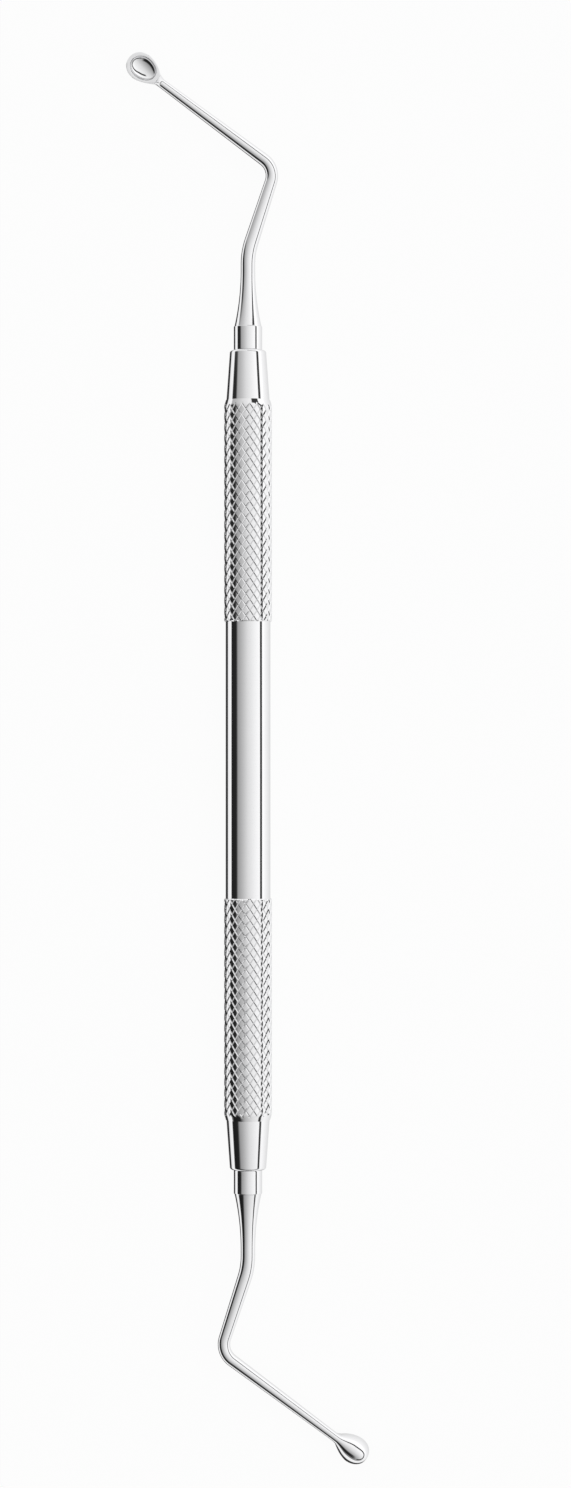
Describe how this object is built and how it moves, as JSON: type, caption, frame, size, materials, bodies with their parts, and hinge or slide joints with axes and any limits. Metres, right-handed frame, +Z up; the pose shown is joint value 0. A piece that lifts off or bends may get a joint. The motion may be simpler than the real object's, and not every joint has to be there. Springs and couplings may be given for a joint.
{
  "type": "bone curette",
  "caption": "double-ended bone curette with a knurled round handle and a small round spoon cup on an angled shank at each end",
  "frame": {"origin": "on the table, straight below the middle of the handle", "axes": "+Y along the handle towards the end whose cup opens upwards, +X to the right seen from above, +Z up from the table"},
  "size_m": [0.0304, 0.176, 0.006],
  "materials": {
    "handle_steel": "polished stainless steel, diamond knurled grips",
    "tip_steel": "polished stainless steel"
  },
  "bodies": {
    "root": {"handle": "handle_steel", "upper_tip": "tip_steel", "lower_tip": "tip_steel"}
  },
  "joints": []
}
